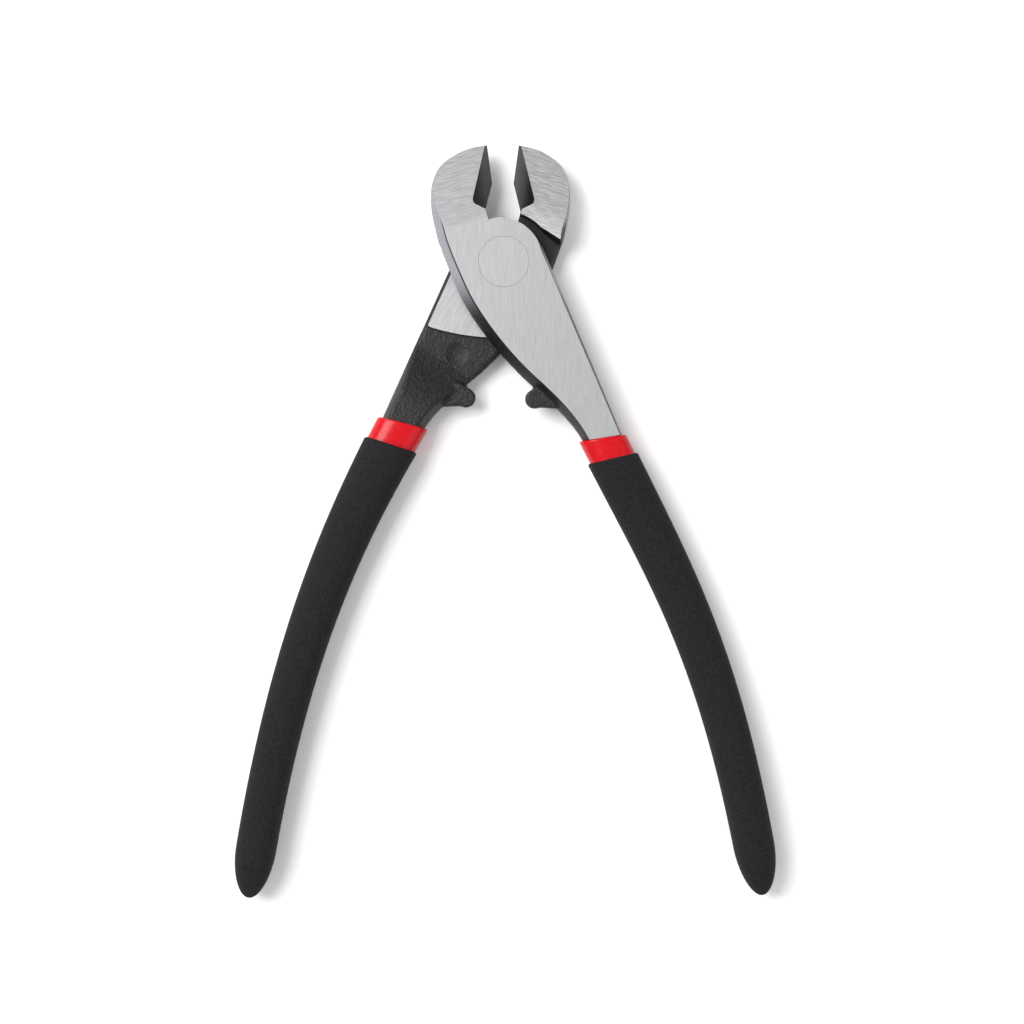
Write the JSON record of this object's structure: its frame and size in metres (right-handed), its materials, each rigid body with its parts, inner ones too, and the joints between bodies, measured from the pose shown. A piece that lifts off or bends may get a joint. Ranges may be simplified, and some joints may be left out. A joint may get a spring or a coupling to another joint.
{
  "type": "side cutting pliers",
  "caption": "Heavy-duty diagonal side cutting pliers with a riveted lap joint, ground jaws, stop lugs and dipped foam handles over red sleeves.",
  "frame": {"origin": "pivot axis at the rear lever's ground outer face", "axes": "+Y from the pivot towards the jaws, +Z along the pivot axis from the rear lever to the front lever, +X towards the front lever's handle"},
  "size_m": [0.1401, 0.1958, 0.0125],
  "materials": {
    "steel": "ground satin on the faces, black oxide on the forged surfaces",
    "red_dip": "glossy dipped PVC",
    "black_foam": "matte foamed dip with a fine open grain"
  },
  "bodies": {
    "rear_half": {"rear_lever": "steel", "pivot_rivet": "steel", "rear_sleeve": "red_dip", "rear_grip": "black_foam"},
    "front_half": {"front_lever": "steel", "front_sleeve": "red_dip", "front_grip": "black_foam"}
  },
  "joints": [
    {"name": "pivot", "type": "hinge", "parent": "rear_half", "child": "front_half", "pos_m": [0, 0, 0], "axis": [0, 0, 1], "range_deg": [-15, 28]}
  ]
}
